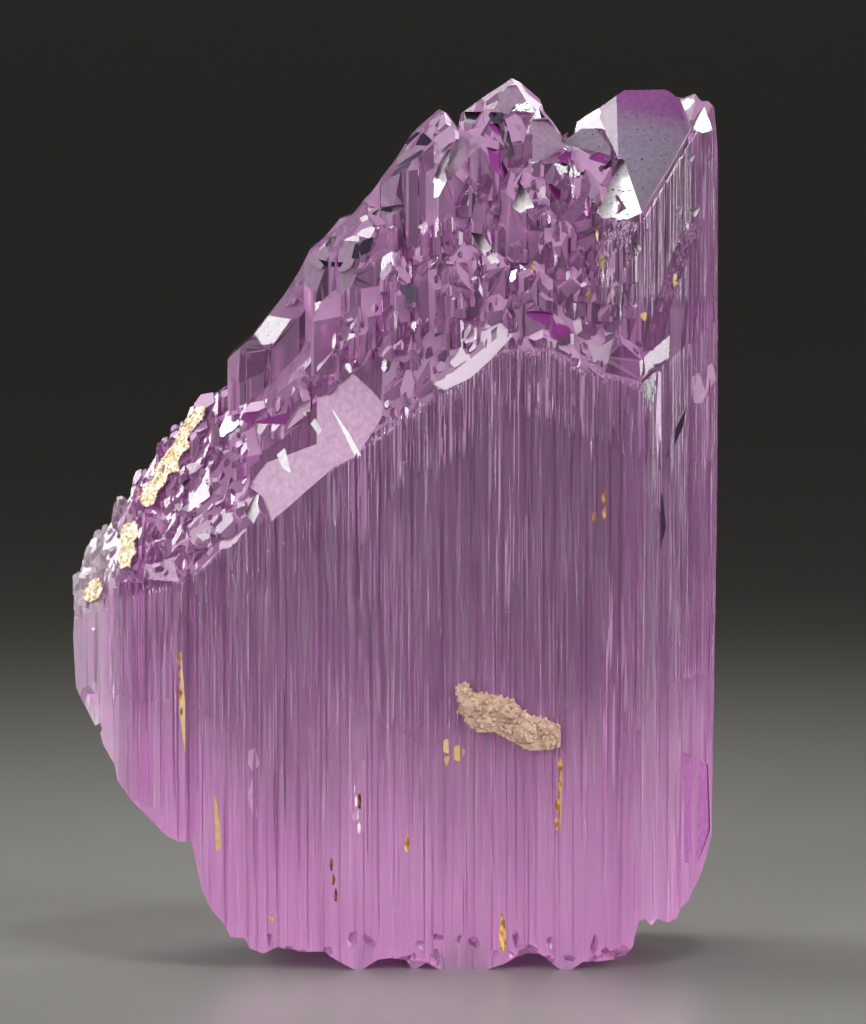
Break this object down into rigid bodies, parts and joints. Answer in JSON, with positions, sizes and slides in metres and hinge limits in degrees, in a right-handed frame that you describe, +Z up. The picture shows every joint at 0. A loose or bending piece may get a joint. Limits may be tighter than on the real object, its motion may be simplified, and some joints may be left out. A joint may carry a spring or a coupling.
{
  "type": "kunzite crystal specimen",
  "caption": "Flattened, vertically striated pink kunzite blade standing on its broken base, with a stepped, etched, oblique termination; a display and collection mineral.",
  "frame": {"origin": "centre of the bounding box's underside, on the surface the broken base stands on", "axes": "+Z up along the crystal's c axis, the broad striated front face looks along -Y, X runs across the blade with the tall peaks at +X"},
  "size_m": [0.0646, 0.0272, 0.088],
  "materials": {
    "kunzite": "transparent pink crystal, glossy facets, frosted etched faces",
    "matrix": "matte, granular",
    "clay": "matte"
  },
  "bodies": {
    "root": {"kunzite_crystal": "kunzite", "matrix_patch": "matrix", "clay_crust_upper": "clay", "clay_crust_middle": "clay", "clay_crust_lower": "clay"}
  },
  "joints": []
}
